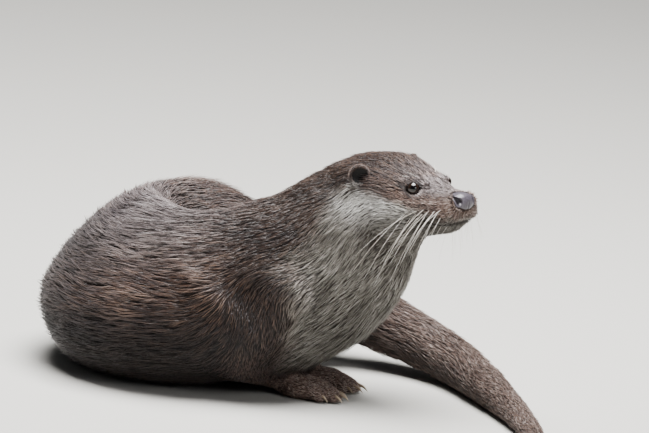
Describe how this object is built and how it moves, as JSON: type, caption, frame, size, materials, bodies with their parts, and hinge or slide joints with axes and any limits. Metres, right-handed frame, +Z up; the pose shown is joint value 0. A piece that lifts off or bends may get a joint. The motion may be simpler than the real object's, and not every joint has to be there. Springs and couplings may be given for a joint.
{
  "type": "river otter",
  "caption": "Life-size river otter crouching with its body curled round, head raised and turned, and thick tail laid out over the floor.",
  "frame": {"origin": "on the floor, below the middle of the model's bounding box", "axes": "+X the way the forequarters face, +Y towards the curled-round hindquarters (the otter's left), +Z up"},
  "size_m": [0.4718, 0.4452, 0.2274],
  "materials": {
    "coat": "dense damp brown fur with spiky guard hairs",
    "throat": "dense brown fur, paler grey on the throat",
    "paw_fur": "short dark brown fur",
    "nose_pad": "bare, moist, finely pebbled",
    "eye": "wet, polished",
    "claw_horn": "smooth horn"
  },
  "bodies": {
    "root": {"head": "coat", "neck": "throat", "trunk_chest": "coat", "trunk_waist": "coat", "trunk_loin_front": "coat", "trunk_loin_rear": "coat", "trunk_rump": "coat", "tail_base": "coat", "tail_middle": "coat", "tail_tip": "coat", "foreleg_right": "coat", "foreleg_left": "coat", "hindleg_right": "coat", "hindleg_left": "coat", "forepaw_right": "paw_fur", "forepaw_left": "paw_fur", "hindpaw_right": "paw_fur", "hindpaw_left": "paw_fur", "ear_left": "coat", "ear_right": "coat", "eye_left": "eye", "eye_right": "eye", "nose": "nose_pad", "claw_fore_right_1": "claw_horn", "claw_fore_right_2": "claw_horn", "claw_fore_right_3": "claw_horn", "claw_fore_right_4": "claw_horn", "claw_fore_right_5": "claw_horn", "claw_fore_left_1": "claw_horn", "claw_fore_left_2": "claw_horn", "claw_fore_left_3": "claw_horn", "claw_fore_left_4": "claw_horn", "claw_fore_left_5": "claw_horn", "claw_hind_right_1": "claw_horn", "claw_hind_right_2": "claw_horn", "claw_hind_right_3": "claw_horn", "claw_hind_right_4": "claw_horn", "claw_hind_right_5": "claw_horn", "claw_hind_left_1": "claw_horn", "claw_hind_left_2": "claw_horn", "claw_hind_left_3": "claw_horn", "claw_hind_left_4": "claw_horn", "claw_hind_left_5": "claw_horn"}
  },
  "joints": []
}
